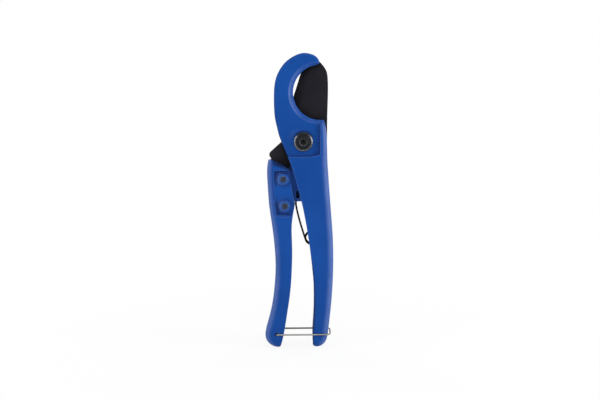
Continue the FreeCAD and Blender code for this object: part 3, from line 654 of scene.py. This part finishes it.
# ---------------------------------------------------------------------- springs
# The return spring is 1.5 mm music wire: three coils and a half in the fixed grip, and one leg
# hooked in the lever's front wing. The pawl spring is 0.8 mm wire coiled round the spacer.
# Both are phosphated black, and drawing marks run along them.
def wire_piece(name, points, thickness):
    """A round wire along a smooth line through the middle of its points, as a closed mesh."""
    deselect_everything()
    bpy.ops.curve.primitive_nurbs_path_add(location=(0, 0, 0))
    line = bpy.context.object
    line.name = name
    spline = line.data.splines[0]
    spline.points.add(len(points) - len(spline.points))
    for point, place in zip(spline.points, points):
        point.co = (*place, 1.0)
    spline.order_u = 3
    spline.use_endpoint_u = True
    spline.resolution_u = 6
    line.data.bevel_depth = thickness / 2
    line.data.bevel_resolution = 5
    line.data.use_fill_caps = True
    bpy.ops.object.convert(target="MESH")
    piece = bpy.context.object
    bpy.ops.object.mode_set(mode="EDIT")
    bpy.ops.mesh.select_all(action="SELECT")
    bpy.ops.mesh.remove_doubles(threshold=0.000002)
    bpy.ops.mesh.normals_make_consistent(inside=False)
    bpy.ops.object.mode_set(mode="OBJECT")
    bpy.ops.object.shade_smooth_by_angle(angle=math.radians(50))
    return piece


def drawn_wire(name, base, worn, metallic, rough, streak, gloss=0.5, shaded_back=None):
    """Drawn wire: cloudy finish, small bright rubs and a fine grain; shaded_back is the painted shade on its
    back half.
    """
    material, shader, where = new_finish(name)
    cloud = remap(material, speckle(material, where, 240.0, 4.0, 0.6), 0.35, 0.7)
    rub = remap(material, speckle(material, where, 1100.0, 4.0, 0.7), 0.55, 0.72)
    body = tint(material, cloud, base, tuple(0.6 * v + 0.4 * w for v, w in zip(base, worn)))
    body = tint(material, times(material, rub, 0.6), body, worn)
    if shaded_back is not None:
        back = remap(material, place_of(material, where, "Y"), -0.009, 0.009, 0.0, 0.9)
        body = tint(material, back, body, shaded_back)
    tie(material, (body, shader.inputs["Base Color"]))
    shader.inputs["Metallic"].default_value = metallic
    shader.inputs["Specular IOR Level"].default_value = gloss
    tie(material, (remap(material, cloud, 0.0, 1.0, rough[0], rough[1]), shader.inputs["Roughness"]))
    relief(material, shader, (speckle(material, where, 2400.0, 3.0, 0.6, stretch=streak), 0.00001))
    return material


def coil(x, z, radius, y_from, rise, first, turned):
    """Points of a coil along Y round x and z, every 15 degrees from the first angle. They stand a
    little outside the wire, because a smooth line runs inside its points."""
    outside = 1.004
    points = []
    for step in range(0, abs(turned) + 1, 15):
        angle = math.radians(first + math.copysign(step, turned))
        points.append((x + radius * math.cos(angle) * outside, y_from + rise * step / abs(turned),
                       z + radius * math.sin(angle) * outside))
    return points


spring_black = drawn_wire("spring_black", (0.003, 0.0035, 0.004, 1), (0.012, 0.012, 0.012, 1),
                          0.0, (0.55, 0.75), (1, 1, 0.15), gloss=0.05)
coil_x, coil_z, coil_r = 0.0063, -0.0756, 0.0047
coil_rise = 0.00575
coil_turned = 3 * 360 + 150
return_wire = 0.0015
leg_y = -0.0010
hook_x, hook_z = -0.0042, -0.0414
spring_line = [(hook_x, -0.0049, hook_z + 0.0004), (hook_x, -0.0040, hook_z + 0.0004),
               (hook_x, -0.0014, hook_z + 0.0005), (hook_x - 0.0004, leg_y, hook_z - 0.0012),
               (hook_x - 0.0016, leg_y, hook_z - 0.0050), (-0.0058, leg_y, -0.0495),
               (-0.0043, leg_y, -0.0565), (-0.0024, leg_y, -0.0636), (-0.0004, leg_y, -0.0700),
               (0.0006, leg_y, -0.0732)]
spring_line += coil(coil_x, coil_z, coil_r, leg_y, coil_rise, 205, coil_turned)
spring_line += [(coil_x + coil_r + 0.0006, 0.0050, coil_z - 0.0040), (0.0132, 0.0049, -0.0860),
                (0.0160, 0.0048, -0.0930), (0.0182, 0.0048, -0.0986)]
return_spring = wire_piece("return_spring_wire", spring_line, return_wire)
return_spring.data.materials.clear()
return_spring.data.materials.append(spring_black)
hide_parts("return_spring")
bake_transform(return_spring)

pin_x, pin_z = middle_of("lower_rivet")
spacer_r = 0.0031
spacer_play = 0.00015
pawl_wire = 0.0008
wrap_r = spacer_r + spacer_play + pawl_wire / 2
pawl_line = [(-0.0110, -0.0009, -0.0336), (-0.0108, -0.00095, -0.0380), (-0.0106, -0.0010, -0.0440)]
pawl_line += coil(pin_x, pin_z, wrap_r, -0.0010, 0.0020, 0, -900)
pawl_line += [(pin_x - wrap_r - 0.0003, 0.0010, pin_z + 0.0040),
              (pin_x - wrap_r - 0.0020, 0.0010, pin_z + 0.0090),
              (pin_x - wrap_r - 0.0046, 0.0010, pin_z + 0.0130)]
pawl_spring = wire_piece("pawl_spring_wire", pawl_line, pawl_wire)
pawl_spring.data.materials.clear()
pawl_spring.data.materials.append(spring_black)
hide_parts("pawl_spring")
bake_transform(pawl_spring)

# ------------------------------------------------------------------- latch bail
# The latch is one loop of 1.3 mm stainless wire. Its two ends are sprung into holes in the lever's tip,
# and its cross bar hooks round the fixed grip's outer edge to keep the tool shut.
# The wire is bright, with drawing marks, and painted shade darkens its back leg.
lo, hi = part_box("latch_bail")
wire = 0.0013
leg = hi.y - wire / 2
hinge_x, hinge_z = -0.0209, -0.1512
bar_x, bar_z = 0.0213, -0.1508
reach = Vector((bar_x - hinge_x, 0.0, bar_z - hinge_z)).normalized()
bend, sweep = 0.0013, 0.0055
tip = 0.0064
hinge, bar = Vector((hinge_x, 0.0, hinge_z)), Vector((bar_x, 0.0, bar_z))
bail_line = []
for side in (-1.0, 1.0):
    out = Vector((0.0, side, 0.0))
    one_leg = [hinge + out * tip, hinge + out * (leg - bend), hinge + out * leg * 0.98 + reach * 0.0001,
               hinge + out * leg + reach * bend, hinge.lerp(bar, 0.35) + out * leg,
               hinge.lerp(bar, 0.7) + out * leg, bar + out * leg - reach * sweep,
               bar + out * (leg - 0.0004) - reach * 0.0004, bar + out * (leg - sweep), bar + out * leg * 0.2]
    bail_line = bail_line + (one_leg if side < 0 else list(reversed(one_leg)))
latch = wire_piece("latch_wire", [tuple(p) for p in bail_line], wire)
latch_steel = drawn_wire("latch_steel", (0.19, 0.188, 0.175, 1), (0.40, 0.395, 0.37, 1),
                         1.0, (0.22, 0.36), (0.1, 1, 1), shaded_back=(0.065, 0.064, 0.060, 1))
fit(latch, "latch_bail", "latch", latch_steel)

# -------------------------------------------------------------- floor and light
# A plain pale floor just under the grips, that fades to white round the tool and keeps its soft shadow.
# Soft lamps light the tool evenly: one on each side, one in front, one above and two behind.
def seen_straight(material):
    """1 where the camera sees a surface straight, in gloss or through glass; 0 for the light it gives."""
    path = add_node(material, "ShaderNodeLightPath", (-600, 300))
    direct = times(material, path.outputs["Is Camera Ray"], path.outputs["Is Glossy Ray"], "ADD")
    return times(material, direct, path.outputs["Is Transmission Ray"], "ADD")


floor_z = cad_box[0][2] - 0.0006
bpy.ops.object.select_all(action="DESELECT")
bpy.ops.mesh.primitive_plane_add(size=6.0, location=(0, 0, floor_z))
floor = bpy.context.object
floor.name = "floor"
bpy.ops.object.transform_apply(location=True, rotation=True, scale=True)
paper = bpy.data.materials.new("pale_floor")
paper.use_nodes = True
paper.node_tree.nodes.clear()
paper_out = add_node(paper, "ShaderNodeOutputMaterial", (600, 0))
matt = add_node(paper, "ShaderNodeBsdfDiffuse", (0, 0), Color=(0.86, 0.86, 0.86, 1))
glow = add_node(paper, "ShaderNodeEmission", (0, -200), Color=(1, 1, 1, 1), Strength=1.0)
spot = add_node(paper, "ShaderNodeTexCoord", (-900, -300))
near = add_node(paper, "ShaderNodeVectorMath", (-700, -300))
near.operation = "LENGTH"
tie(paper, (spot.outputs["Object"], near.inputs[0]))
far = remap(paper, near.outputs["Value"], 0.05, 0.30, 0.80, 1.0)
blend = add_node(paper, "ShaderNodeMixShader", (300, 0))
tie(paper, (times(paper, seen_straight(paper), far), blend.inputs["Fac"]), (matt.outputs[0], blend.inputs[1]),
    (glow.outputs[0], blend.inputs[2]), (blend.outputs[0], paper_out.inputs["Surface"]))
floor.data.materials.append(paper)

world = bpy.data.worlds.new("studio")
bpy.context.scene.world = world
world.use_nodes = True
world.node_tree.nodes.clear()
world_out = add_node(world, "ShaderNodeOutputWorld", (600, 0))
room = add_node(world, "ShaderNodeBackground", (0, 0), Color=(0.92, 0.95, 1.0, 1), Strength=0.36)
white = add_node(world, "ShaderNodeBackground", (0, -200), Color=(1, 1, 1, 1), Strength=1.0)
choose = add_node(world, "ShaderNodeMixShader", (300, 0))
tie(world, (seen_straight(world), choose.inputs["Fac"]), (room.outputs[0], choose.inputs[1]),
    (white.outputs[0], choose.inputs[2]), (choose.outputs[0], world_out.inputs["Surface"]))

middle = Vector((-0.003, 0.0, -0.047))


def soft_lamp(name, place, size, power):
    """A broad lamp at a place, turned towards the tool's middle."""
    data = bpy.data.lights.new(name, "AREA")
    data.shape = "RECTANGLE"
    data.size, data.size_y = size
    data.energy = power
    lamp = bpy.data.objects.new(name, data)
    bpy.context.scene.collection.objects.link(lamp)
    lamp.location = place
    lamp.rotation_euler = (middle - Vector(place)).to_track_quat("-Z", "Y").to_euler()


soft_lamp("side_lamp_left", (-0.70, -0.42, 0.12), (0.2, 0.9), 2.8)
soft_lamp("side_lamp_right", (0.74, -0.26, 0.06), (0.26, 0.9), 5.6)
soft_lamp("front_lamp", (0.1, -1.0, 0.85), (0.8, 0.4), 4.6)
soft_lamp("top_lamp", (0.0, 0.05, 0.85), (0.7, 0.7), 1.6)
soft_lamp("back_lamp_left", (-0.8, 0.9, 0.35), (0.4, 0.8), 3.6)
soft_lamp("back_lamp_right", (0.9, 0.9, 0.35), (0.4, 0.8), 3.6)

camera_data = bpy.data.cameras.new("camera")
camera = bpy.data.objects.new("camera", camera_data)
bpy.context.scene.collection.objects.link(camera)
camera.location = (-0.0026, -0.665, 0.0360)
camera_aim = Vector((-0.0026, 0.0, -0.0457))
camera.rotation_euler = (camera_aim - camera.location).to_track_quat("-Z", "Y").to_euler()
camera_data.sensor_width = 36.0
camera_data.lens = 51.5
camera_data.clip_start = 0.01
bpy.context.scene.camera = camera
bpy.context.scene.view_settings.view_transform = "Standard"
